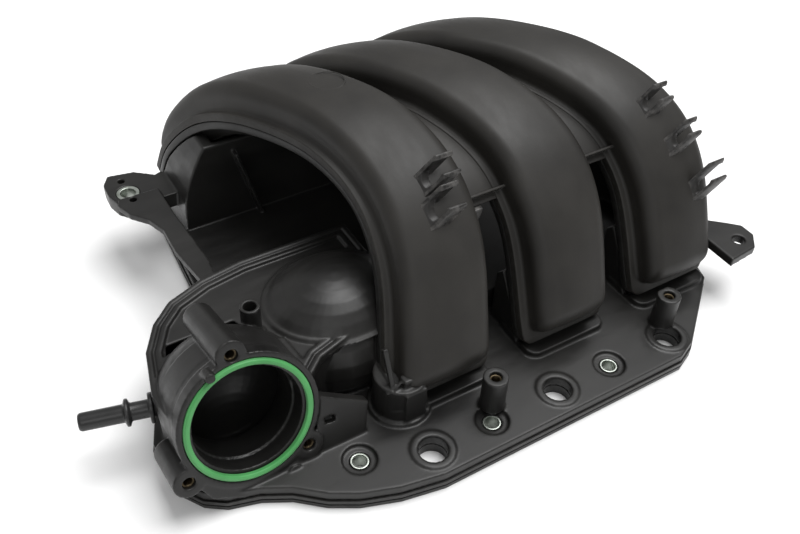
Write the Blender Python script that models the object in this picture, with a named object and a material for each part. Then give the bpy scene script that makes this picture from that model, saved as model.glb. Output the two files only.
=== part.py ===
"""Intake manifold for a three-cylinder engine, welded from four moulded nylon shells.

Lengths below are in millimetres and are turned into metres where meshes are made.
Local frame: +X along the row of cylinders, away from the throttle; -Y is the front, where
the injectors and the throttle body sit; +Z is up, square to the cylinder-head flange.
The local origin is the axis of the first injector pocket on the flange's top face.
"""

import math

import bmesh
import bpy
from mathutils import Matrix, Vector

MM = 0.001
GAP = 0.3                      # clearance kept between touching pieces

# ---- driving dimensions (mm) ----------------------------------------------------------
CYLINDERS = 3
PITCH = 82.0                   # spacing of cylinders, ports and injector pockets
FLANGE_TOP = 0.0
SEAM_Z = -6.0                  # weld line between the base and the plenum shell
BOTTOM_Z = -12.0               # face that bolts to the cylinder head
ORIGIN = Vector((48.3, 126.0, BOTTOM_Z))   # centre of the part, on its lowest face

POCKET_R = 8.0                 # injector pocket
POCKET_BOSS_R = 12.0
LIMITER_SPOTS = ((38.0, 0.6), (120.0, 0.6), (64.0, 62.0), (146.0, 62.0), (-36.0, 14.0))
LIMITER_R = 5.0
LIMITER_BORE_R = 3.9
COUNTERBORE_R = 9.3
COUNTERBORE_DEPTH = 2.0
POST_SPOTS = ((43.6, 9.1), (168.0, 10.0))
POST_R = 7.0
POST_TOP = 24.0

RIM = 5.0                      # width of the weld rim beside each runner
CROWN = 23.0                   # height of a runner's crown above the weld surface
SHOULDER = 11.0                # rounding of the crown's shoulders
WALL = 3.2
RIM_THICK = 5.0

THROTTLE = Vector((-83.3, 37.3, 35.5))     # centre of the throttle flange's face
THROTTLE_TILT = math.radians(17.9)         # the face looks this far above level
THROTTLE_BORE_R = 28.5
THROTTLE_RING_R = 37.0
SEAL_OUT_R = 33.5
SEAL_IN_R = 30.2
THROTTLE_BOLTS = ((-1.5, 38.0), (-36.2, -19.7), (26.4, -28.5))
BOLT_BOSS_R = 8.0
INSERT_R = 3.0                 # threaded inserts sit a little below the faces they serve
INSERT_BORE_R = 2.1
INSERT_RECESS = 2.0
INSERT_LENGTH = 9.5
BIG_BOSS = Vector((1.0, 36.0, 25.0))       # blind round boss beside the throttle barrel
BIG_BOSS_R = 15.0
NIPPLE_ROOT = Vector((-117.6, 79.0, 22.0)) # on the left wall of the chamber
NIPPLE_OUT = Vector((-0.970, 0.243, 0.0))
NIPPLE_R = 4.75
NIPPLE_BORE_R = 3.0
NIPPLE_LENGTH = 38.0
SLEEVE = Vector((-77.0, 233.0, 37.0))      # steel sleeve in the rear-left ear, top centre
SLEEVE_R = 7.0
SLEEVE_BORE_R = 4.6
SLEEVE_LENGTH = 10.0
TAB_HOLE = Vector((240.0, 25.0, 25.0))     # hole in the right-hand ear

# Weld surface between the cover and the runner floors: one profile in the YZ plane,
# the same for all three runners, from the head flange over the top and down the back.
PROFILE = ((37.0, 9.0), (52.0, 37.0), (72.0, 65.0), (98.0, 87.0), (130.0, 98.0),
           (163.0, 99.0), (196.0, 93.0), (224.0, 78.0), (243.0, 55.0), (250.0, 34.0))
# At fractions of the profile's length: the first runner's left and right wall, and the
# spacing of the runners. They lean to +X as they rise and swing to -X behind.
PLAN = ((0.00, -4.0, 51.0, 82.0), (0.28, 13.0, 66.0, 78.5), (0.48, 8.0, 60.0, 69.5),
        (0.72, -18.0, 34.0, 62.5), (1.00, -46.0, 2.0, 60.0))
FOOT_TRIM = 8.0                # the second and third runners are this much narrower at the foot
FOOT_TRIM_END = 0.28           # fraction of the profile where they are full width again

PORT_LOW, PORT_HIGH = (3.0, 30.0), (46.0, 56.0)   # first head port, corners in X and Y


# ---- small tools ------------------------------------------------------------------------
def clear_scene():
    for old in list(bpy.data.objects):
        bpy.data.objects.remove(old, do_unlink=True)


def material(name, colour, roughness, metallic=0.0):
    mat = bpy.data.materials.new(name)
    mat.use_nodes = True
    shader = mat.node_tree.nodes["Principled BSDF"]
    shader.inputs["Base Color"].default_value = (*colour, 1.0)
    shader.inputs["Roughness"].default_value = roughness
    shader.inputs["Metallic"].default_value = metallic
    mat.diffuse_color = (*colour, 1.0)
    return mat


def place(point):
    """A local point in millimetres as a world point in metres."""
    return (Vector(point) - ORIGIN) * MM


def make(name, bm, mat=None):
    bmesh.ops.remove_doubles(bm, verts=bm.verts, dist=1e-6)
    bmesh.ops.recalc_face_normals(bm, faces=bm.faces)
    mesh = bpy.data.meshes.new(name)
    bm.to_mesh(mesh)
    bm.free()
    obj = bpy.data.objects.new(name, mesh)
    bpy.context.scene.collection.objects.link(obj)
    if mat:
        mesh.materials.append(mat)
    return obj


def loft(name, rings, mat=None):
    """A closed solid through rings of equal length, with flat ends."""
    bm = bmesh.new()
    rows = [[bm.verts.new(place(p)) for p in ring] for ring in rings]
    count = len(rings[0])
    for low, high in zip(rows, rows[1:]):
        for i in range(count):
            j = (i + 1) % count
            bm.faces.new((low[i], low[j], high[j], high[i]))
    bm.faces.new(rows[0])
    bm.faces.new(rows[-1])
    return make(name, bm, mat)


def prism(name, outline, z0, z1, mat=None):
    return loft(name, [[(x, y, z) for x, y in outline] for z in (z0, z1)], mat)


def slab(name, outline, x0, x1, lean=0.0):
    """A YZ outline pushed along X; lean shifts it to +X as it rises."""
    return loft(name, [[(x + lean * z, y, z) for y, z in outline] for x in (x0, x1)])


def box(name, low, high):
    corners = ((low[0], low[1]), (high[0], low[1]), (high[0], high[1]), (low[0], high[1]))
    return prism(name, corners, low[2], high[2])


def frame_of(axis):
    """Two directions square to an axis and to each other; the first is level."""
    axis = Vector(axis).normalized()
    side = Vector((1, 0, 0)) if abs(axis.x) < 0.9 else Vector((0, 1, 0))
    side = (side - axis * side.dot(axis)).normalized()
    return side, axis.cross(side)


def turned(name, start, axis, steps, sides=32, mat=None):
    """A solid of rings: steps are (distance along the axis, radius) from the start."""
    axis = Vector(axis).normalized()
    side, up = frame_of(axis)
    rings = []
    for distance, radius in steps:
        centre = Vector(start) + axis * distance
        turns = (math.tau * k / sides for k in range(sides))
        rings.append([centre + (side * math.cos(a) + up * math.sin(a)) * radius for a in turns])
    return loft(name, rings, mat)


def rod(name, start, axis, length, radius, sides=32):
    return turned(name, start, axis, ((0, radius), (length, radius)), sides)


def tube(name, start, axis, steps, bore, sides=32, mat=None):
    """A turned piece with a straight bore right through it."""
    axis = Vector(axis).normalized()
    side, up = frame_of(axis)
    loop = [*steps, (steps[-1][0], bore), (steps[0][0], bore)]
    bm = bmesh.new()
    rings = []
    for distance, radius in loop:
        centre = Vector(start) + axis * distance
        turns = (math.tau * k / sides for k in range(sides))
        rings.append([bm.verts.new(place(centre + (side * math.cos(a) + up * math.sin(a)) * radius))
                      for a in turns])
    for low, high in zip(rings, rings[1:] + rings[:1]):
        for i in range(sides):
            j = (i + 1) % sides
            bm.faces.new((low[i], low[j], high[j], high[i]))
    return make(name, bm, mat)


def ellipsoid(name, centre, radii, columns=32, rows=16):
    bm = bmesh.new()
    bmesh.ops.create_uvsphere(bm, u_segments=columns, v_segments=rows, radius=1.0)
    for v in bm.verts:
        v.co = place([c + r * k for c, r, k in zip(centre, radii, v.co)])
    return make(name, bm)


def rounded(low, high, radius, arc=5):
    """A rectangle's outline with rounded corners."""
    points = []
    corners = ((high[0], high[1], 0), (low[0], high[1], 90), (low[0], low[1], 180), (high[0], low[1], 270))
    for x, y, start in corners:
        cx = x - radius if x == high[0] else x + radius
        cy = y - radius if y == high[1] else y + radius
        for k in range(arc + 1):
            a = math.radians(start + 90 * k / arc)
            points.append((cx + radius * math.cos(a), cy + radius * math.sin(a)))
    return points


def combine(target, pieces, operation="UNION"):
    """Join pieces to the target, or cut them from it, and drop them."""
    for piece in pieces:
        mod = target.modifiers.new("combine", "BOOLEAN")
        mod.operation = operation
        mod.solver = "EXACT"
        mod.object = piece
        graph = bpy.context.evaluated_depsgraph_get()
        mesh = bpy.data.meshes.new_from_object(target.evaluated_get(graph))
        target.modifiers.clear()
        old = target.data
        target.data = mesh
        bpy.data.meshes.remove(old)
        bpy.data.objects.remove(piece, do_unlink=True)
    return target


def finish(obj, mat, angle=35.0):
    obj.data.materials.clear()
    obj.data.materials.append(mat)
    obj.data.shade_smooth()
    obj.data.set_sharp_from_angle(angle=math.radians(angle))
    return obj


# ---- the weld surface ---------------------------------------------------------------------
def smooth_between(a, b, c, d, t):
    """Catmull-Rom value between b and c."""
    return 0.5 * (2 * b + (c - a) * t + (2 * a - 5 * b + 4 * c - d) * t * t
                  + (3 * b - a - 3 * c + d) * t * t * t)


def dense_profile(steps=24):
    pts = [(2 * PROFILE[0][0] - PROFILE[1][0], 2 * PROFILE[0][1] - PROFILE[1][1]), *PROFILE,
           (2 * PROFILE[-1][0] - PROFILE[-2][0], 2 * PROFILE[-1][1] - PROFILE[-2][1])]
    out = []
    for k in range(1, len(pts) - 2):
        for i in range(steps):
            t = i / steps
            out.append(tuple(smooth_between(pts[k - 1][n], pts[k][n], pts[k + 1][n], pts[k + 2][n], t)
                             for n in (0, 1)))
    out.append(PROFILE[-1])
    return out


DENSE = dense_profile()
LENGTHS = [0.0]
for here, there in zip(DENSE, DENSE[1:]):
    LENGTHS.append(LENGTHS[-1] + math.dist(here, there))
TOTAL = LENGTHS[-1]


def on_profile(length):
    """The profile's point and outward normal at a distance along it from the flange."""
    if length <= 0:
        k, t = 0, length / (LENGTHS[1] - LENGTHS[0])
    elif length >= TOTAL:
        k = len(DENSE) - 2
        t = 1 + (length - TOTAL) / (LENGTHS[-1] - LENGTHS[-2])
    else:
        k = max(i for i, value in enumerate(LENGTHS[:-1]) if value <= length)
        t = (length - LENGTHS[k]) / (LENGTHS[k + 1] - LENGTHS[k])
    a, b = Vector(DENSE[k]), Vector(DENSE[k + 1])
    before, after = Vector(DENSE[max(k - 3, 0)]), Vector(DENSE[min(k + 4, len(DENSE) - 1)])
    tangent = (after - before).normalized()
    return a.lerp(b, t), Vector((-tangent.y, tangent.x))


def plan_at(length):
    """Left wall, right wall and spacing of the runners at a distance along the profile."""
    f = min(max(length / TOTAL, 0.0), 1.0)
    k = max(i for i in range(len(PLAN) - 1) if PLAN[i][0] <= f)
    before, a, b, after = PLAN[max(k - 1, 0)], PLAN[k], PLAN[k + 1], PLAN[min(k + 2, len(PLAN) - 1)]
    t = (f - a[0]) / (b[0] - a[0])
    return [smooth_between(before[n], a[n], b[n], after[n], t) for n in (1, 2, 3)]


def walls_of(index, length):
    """Left and right wall of one runner."""
    left, right, spacing = plan_at(length)
    trim = FOOT_TRIM * max(0.0, 1 - length / TOTAL / FOOT_TRIM_END) if index else 0.0
    return left + index * spacing + min(trim, FOOT_TRIM), right + index * spacing


def on_surface(x, length, height):
    base, normal = on_profile(length)
    return (x, base.x + normal.x * height, base.y + normal.y * height)


def two_skin(name, outer, inner, quads, mat):
    """A shell from an outer and an inner grid of points joined along every free edge."""
    bm = bmesh.new()
    out = {key: bm.verts.new(place(p)) for key, p in outer.items()}
    inn = {key: bm.verts.new(place(p)) for key, p in inner.items()}
    edges = {}
    for quad in quads:
        bm.faces.new([out[k] for k in quad])
        bm.faces.new([inn[k] for k in reversed(quad)])
        for a, b in zip(quad, quad[1:] + quad[:1]):
            edges[(a, b)] = edges.get((a, b), 0) + 1
    for a, b in edges:
        if (b, a) not in edges:
            bm.faces.new((out[b], out[a], inn[a], inn[b]))
    used = {k for quad in quads for k in quad}
    for key in outer:
        if key not in used:
            bm.verts.remove(out[key])
            bm.verts.remove(inn[key])
    return make(name, bm, mat)


# ---- runner cover ---------------------------------------------------------------------------
CLOSE = 14.0                   # length over which a crown rounds down to its rim at each end
WEB_FROM = 0.28                # fraction of the profile where the webs between runners begin
SHOULDER_ANGLES = (0, 30, 60, 90)


def stations(first, last, ends, middle):
    inner = [first + CLOSE + (last - first - 2 * CLOSE) * k / middle for k in range(middle + 1)]
    return [*(first + e for e in ends), *inner, *(last - e for e in reversed(ends))]


COVER_STATIONS = stations(0.0, TOTAL, (-RIM, 0.0, 1.5, 5.0), 16)


def closing(distance):
    """0 at a crown's end, 1 where it is full height, along a quarter ellipse."""
    f = min(max(distance / CLOSE, 0.0), 1.0)
    return math.sqrt(1 - (1 - f) ** 2)


def crown_columns(left, right, inset):
    """X and height of a runner's section, for the outer skin or the inner one."""
    radius = SHOULDER - inset
    base = RIM_THICK if inset == 0 else GAP / 2
    side = [(left - RIM, base), (left + inset, base)]
    for angle in SHOULDER_ANGLES:
        a = math.radians(angle)
        side.append((left + SHOULDER - radius * math.cos(a), CROWN - SHOULDER + radius * math.sin(a)))
    mirrored = [(left + right - x, h) for x, h in reversed(side)]
    return [*side, ((left + right) / 2, CROWN - inset), *mirrored]


def runner_cover_shell(mat):
    outer, inner, quads = {}, {}, []
    for i in range(CYLINDERS):
        for j, s in enumerate(COVER_STATIONS):
            left, right = walls_of(i, s)
            end = min(s, TOTAL - s)
            for skin, inset, base in ((outer, 0.0, RIM_THICK), (inner, WALL, GAP / 2)):
                grow = closing(end - inset)
                for c, (x, h) in enumerate(crown_columns(left, right, inset)):
                    skin[i, c, j] = on_surface(x, s, base + (h - base) * grow)
    columns = len(crown_columns(0, 1, 0))
    for i in range(CYLINDERS):
        for j in range(len(COVER_STATIONS) - 1):
            for c in range(columns - 1):
                quads.append([(i, c, j), (i, c + 1, j), (i, c + 1, j + 1), (i, c, j + 1)])
            if i and COVER_STATIONS[j] >= WEB_FROM * TOTAL:
                last = columns - 1
                quads.append([(i - 1, last, j), (i, 0, j), (i, 0, j + 1), (i - 1, last, j + 1)])
    return two_skin("runner_cover_shell", outer, inner, quads, mat)


# Harness clips on the cover: corner on the surface, direction from prong to prong, spacing,
# width along X and length of the prongs. The prongs lean to +X as they stand up.
CLIPS = (((31.5, 86.5, 104.5), (0.0, -0.80, -0.60), 11.0, 10.5, 19.0),
         ((29.0, 73.5, 96.5), (0.0, -0.73, -0.68), 13.0, 10.5, 17.0),
         ((183.0, 86.0, 104.3), (0.0, -0.80, -0.60), 10.0, 9.5, 17.0),
         ((190.0, 64.5, 88.4), (0.0, -0.70, -0.71), 9.0, 9.0, 19.0),
         ((197.0, 45.5, 65.5), (0.0, -0.52, -0.85), 11.0, 11.5, 21.0))
CLIP_LEAN = Vector((0.71, -0.12, 0.69))
CLIP_PLATE = 1.8


def skewed(name, corner, one, two, three):
    """A slanted block from a corner and three edges."""
    corner = Vector(corner)
    ends = [(corner, corner + one, corner + one + two, corner + two)]
    ends.append([p + three for p in ends[0]])
    return loft(name, ends)


def harness_clip(corner, run, spacing, width, length):
    """A base plate with two upright prongs, set into the cover's wall."""
    run = Vector(run)
    out = Vector((0, run.z, -run.y))
    along = Vector((width, 0, 0))
    root = Vector(corner) - out * 1.2
    base = skewed("base", root, along, run * (spacing + CLIP_PLATE), out * 2.4)
    lean = CLIP_LEAN * length
    start = root + out * 0.7 + Vector((0.3, 0, 0)) + run * 0.2
    blade = Vector((width - 0.9, 0, 0))
    thick = run * (CLIP_PLATE - 0.4)
    prongs = [skewed("prong", start + run * d, blade, thick, lean) for d in (0.0, spacing)]
    return combine(base, prongs)


# ---- runner floors ----------------------------------------------------------------------------
FLOOR_DEPTH = 8.0
FLOOR_STATIONS = COVER_STATIONS
PORT_END = 39.0                # length of the opening down to the head port
INLET_END = 46.0               # length of the opening up from the plenum


def floor_columns(left, right, skin):
    top = -GAP / 2
    rim, channel = (top, -FLOOR_DEPTH) if skin == "outer" else (top - RIM_THICK, -FLOOR_DEPTH - WALL)
    side = [(left - RIM, rim), (left + 0.5, rim), (left + 4.5, channel)]
    mirrored = [(left + right - x, h) for x, h in reversed(side)]
    return [*side, ((left + right) / 2, channel), *mirrored]


def runner_floor_shell(mat):
    outer, inner, quads = {}, {}, []
    for i in range(CYLINDERS):
        for j, s in enumerate(FLOOR_STATIONS):
            left, right = walls_of(i, s)
            flat = s < 1 or s > TOTAL - 1
            for skin, name in ((outer, "outer"), (inner, "inner")):
                columns = floor_columns(left, right, name)
                for c, (x, h) in enumerate(columns):
                    skin[i, c, j] = on_surface(x, s, columns[0][1] if flat else h)
    count = len(floor_columns(0, 1, "outer"))
    for i in range(CYLINDERS):
        for j in range(len(FLOOR_STATIONS) - 1):
            low, high = FLOOR_STATIONS[j], FLOOR_STATIONS[j + 1]
            opening = (low > -1 and high < PORT_END) or (low > TOTAL - INLET_END and high < TOTAL + 1)
            for c in range(count - 1):
                if opening and 2 <= c < count - 3:
                    continue
                quads.append([(i, c, j), (i, c + 1, j), (i, c + 1, j + 1), (i, c, j + 1)])
            if i and low >= WEB_FROM * TOTAL:
                quads.append([(i - 1, count - 1, j), (i, 0, j), (i, 0, j + 1), (i - 1, count - 1, j + 1)])
    return two_skin("runner_floor_shell", outer, inner, quads, mat)


# ---- outlines ---------------------------------------------------------------------------------
FOOTPRINT = ((-125.0, 75.0), (-123.0, 48.0), (-114.0, 34.0), (-104.0, 27.0), (-88.0, 22.5), (-74.0, 15.0),
             (-60.0, 3.0), (-46.0, -5.0), (-26.0, -12.0), (-2.0, -16.5), (162.0, -16.5), (175.0, -11.0),
             (222.0, 26.0), (227.0, 42.0), (220.0, 80.0), (188.0, 150.0), (152.0, 225.0), (134.0, 255.0),
             (-57.0, 255.0), (-64.0, 150.0), (-78.0, 136.0), (-100.0, 121.0), (-114.0, 102.0))
CHAMBER = ((-120.0, 72.0), (-118.0, 54.0), (-110.0, 45.0), (-48.0, 44.0), (-36.0, 54.0), (24.0, 72.0),
           (24.0, 141.0), (-44.0, 141.0), (-69.0, 137.0), (-90.0, 129.0), (-103.0, 117.0), (-113.0, 100.0))
CHAMBER_TOP = 40.0
CHAMBER_RIM = 6.0              # width and thickness of the weld rim round the chamber
TUNNEL_FLOOR = ((-56.0, 71.0), (221.0, 71.0), (188.0, 145.0), (160.0, 208.0), (-57.0, 208.0))
TUNNEL_FLOOR_TOP = 16.0
SIDE_WALL = ((218.5, 71.5), (186.5, 144.5), (182.5, 143.5), (214.0, 71.5))   # stands on the tunnel's floor
SIDE_WALL_TOP = 38.0
BACK_FRONT_Y = 206.0           # front face of the duct that rises behind the tunnel
BACK_Y = 246.9                 # its back face, below the weld rims
BACK_STEP = 9.0                # how far below the runners' last opening its inside steps in
SKIN = 3.5                     # wall of the plenum
HOOD = (-83.3, 68.0, 27.0)     # rounded roof that leads from the throttle's barrel into the chamber
HOOD_RADII = (36.4, 32.0, 33.2)


def grown(outline, amount):
    """An outline moved outward by an amount, or inward where it is negative."""
    count = len(outline)
    area = sum(outline[i][0] * outline[(i + 1) % count][1] - outline[(i + 1) % count][0] * outline[i][1]
               for i in range(count))
    sign = 1 if area > 0 else -1
    moved = []
    for i in range(count):
        here, before, after = Vector(outline[i]), Vector(outline[i - 1]), Vector(outline[(i + 1) % count])
        one, two = (here - before).normalized(), (after - here).normalized()
        bisector = Vector((one.y + two.y, -one.x - two.x)).normalized() * sign
        stretch = 1 / max(bisector.dot(Vector((one.y, -one.x)) * sign), 0.4)
        moved.append(tuple(here + bisector * amount * stretch))
    return moved


def port_outline(index, margin):
    """The head port with its injector pocket, grown by a margin: the line its seal follows."""
    x = index * PITCH
    left, right = PORT_LOW[0] - margin + x, PORT_HIGH[0] + margin + x
    low, high = PORT_LOW[1] - margin, PORT_HIGH[1] + margin
    radius = POCKET_R + margin
    arc = [(x + radius * math.cos(math.radians(a)), radius * math.sin(math.radians(a)))
           for a in range(180, 361, 20)]
    ends = []
    for cx, start in ((right - 5, 270), (right - 5, 0), (left + 5, 90)):
        cy = low + 5 if start == 270 else high - 5
        for k in range(5):
            a = math.radians(start + 22.5 * k)
            ends.append((cx + 5 * math.cos(a), cy + 5 * math.sin(a)))
    return [*arc, (x + radius, low - 2), (x + radius + 2, low), *ends]


def throttle_axis():
    return Vector((0, math.cos(THROTTLE_TILT), -math.sin(THROTTLE_TILT)))


def throttle_point(across, up, depth=0.0):
    """A point by its place on the throttle flange's face; depth goes into the plenum."""
    rise = Vector((0, math.sin(THROTTLE_TILT), math.cos(THROTTLE_TILT)))
    return THROTTLE + Vector((across, 0, 0)) + rise * up + throttle_axis() * depth


def insert_spots():
    """Mouth and inward direction of every blind screw hole."""
    spots = [(throttle_point(u, v), throttle_axis()) for u, v in THROTTLE_BOLTS]
    return spots, [(Vector((x, y, POST_TOP)), Vector((0, 0, -1))) for x, y in POST_SPOTS]


# ---- base shell ----------------------------------------------------------------------------------
GROOVE_IN, GROOVE_OUT = 2.5, 6.0
GROOVE_DEPTH = 2.6


def base_shell(mat):
    base = prism("base_shell", FOOTPRINT, BOTTOM_Z, SEAM_Z - GAP / 2)
    well = [(-118.0, 74.0), (-112.0, 54.0), (-50.0, 54.0), (-40.0, 76.0), (214.0, 76.0), (184.0, 146.0),
            (150.0, 218.0), (130.0, 248.0), (-51.0, 248.0), (-58.0, 144.0), (-80.0, 131.0), (-112.0, 100.0)]
    cuts = [prism("well", well, BOTTOM_Z + 3.0, SEAM_Z + 1)]
    for i in range(CYLINDERS):
        x = i * PITCH
        port = rounded((PORT_LOW[0] + x, PORT_LOW[1]), (PORT_HIGH[0] + x, PORT_HIGH[1]), 8.0)
        cuts.append(prism("port", port, BOTTOM_Z - 1, SEAM_Z + 1))
        cuts.append(rod("pocket", (x, 0, BOTTOM_Z - 1), (0, 0, 1), 9, POCKET_R))
        ring = prism("ring", port_outline(i, GROOVE_OUT), BOTTOM_Z - 1, BOTTOM_Z + GROOVE_DEPTH)
        core = prism("core", port_outline(i, GROOVE_IN), BOTTOM_Z - 2, BOTTOM_Z + GROOVE_DEPTH + 1)
        cuts.append(combine(ring, [core], "DIFFERENCE"))
    for x, y in LIMITER_SPOTS:
        cuts.append(rod("bolt", (x, y, BOTTOM_Z - 1), (0, 0, 1), 9, LIMITER_R + GAP, 24))
    return finish(combine(base, cuts, "DIFFERENCE"), mat)


# ---- plenum shell ---------------------------------------------------------------------------------
def foot(index, pad, low_z, surface):
    """A block from the flange up to a runner's underside; pad shrinks it all round."""
    left, right = walls_of(index, 0.0)
    rise = [on_surface(0, -RIM + pad + (PORT_END + RIM - pad) * k / 6, surface)[1:] for k in range(7)]
    back = 66.0 - pad
    outline = [*rise, (back, rise[-1][1] - 6), (back, low_z), (rise[0][0], low_z)]
    return slab("foot", outline, left - RIM + pad + 2, right + RIM - pad)


def foot_apron(index):
    """The step in front of a runner's foot that its weld rim stands over."""
    left, right = walls_of(index, 0.0)
    return prism("step", rounded((left - 4, 24), (right + 4, 60), 7), SEAM_Z + 1.7, 3.8)


def back_duct(first, last, pad, start, stop, surface, front_y, low_z, back_y=None):
    """The duct behind the tunnel, under the weld surface, from one runner to another.

    With back_y the block steps in below the surface, so that a wall is left behind it.
    """
    rings = []
    steps = 6
    for k in range(steps + 1):
        s = start + (stop - start) * k / steps
        left, _ = walls_of(first, s)
        _, right = walls_of(last, s)
        left, right = left - RIM + pad, right + RIM - pad
        y, z = on_surface(0, s, surface)[1:]
        rings.append([(left, y, z), (right, y, z), (right, front_y, z), (left, front_y, z)])
    if back_y:
        rings.append([(x, min(y, back_y), z - BACK_STEP) for x, y, z in rings[-1]])
    bottom = [(x, y, low_z) for x, y, z in rings[-1]]
    return loft("back", [*rings, bottom])


ROOM = 0.8                     # clearance of the plenum shell under the runners
ROOM_BESIDE = 1.45             # and beside them, where the webs between runners also need it


def runner_room(index):
    """The space one runner's floor and cover need, which the plenum shell keeps clear of."""
    rings = []
    step = 0.2 * index         # neighbouring rooms overlap, so their faces must not coincide
    first, last = -RIM - 0.6 - step, TOTAL + RIM + 0.6 + step
    for k in range(25):
        s = first + (last - first) * k / 24
        left, right = walls_of(index, s)
        rim, floor = -RIM_THICK - ROOM - step, -FLOOR_DEPTH - WALL - ROOM
        edge = left - RIM - ROOM_BESIDE
        side = [(edge, CROWN + 2 + step), (edge, rim), (left - ROOM, rim), (left + 3.6, floor)]
        mirrored = [(left + right - x, h) for x, h in reversed(side)]
        rings.append([on_surface(x, s, h) for x, h in (*side, *mirrored)])
    return loft("runner_room", rings)


def ears():
    """The two brackets moulded onto the plenum: rear left with its arm, and right."""
    ear = [(-44, 248), (-56, 243), (-67, 252), (-83, 255), (-88, 247), (-88.5, 236), (-86, 226), (-80, 219),
           (-44, 219)]
    arm = [(-60, 226), (-85, 226), (-87, 221), (-83.5, 210), (-75.5, 200), (-71.2, 187), (-71.8, 166),
           (-68.4, 138), (-60, 133), (-58, 150), (-60, 200)]
    tab = [(222.6, 13), (244, 15), (252, 24), (252, 34), (245, 41), (226, 58), (222.6, 58)]
    stem = [(222.2, 34), (225, 40), (225.5, 44), (223.7, 57), (218, 62), (218, 53), (222.2, 51)]
    return [prism("ear", ear, SLEEVE.z - SLEEVE_LENGTH, SLEEVE.z),
            prism("arm", arm, 34.7, CHAMBER_TOP - 0.4),
            prism("tab", tab, TAB_HOLE.z - 6, TAB_HOLE.z),
            prism("stem", stem, SEAM_Z + 2.1, TAB_HOLE.z - 3)]


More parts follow.
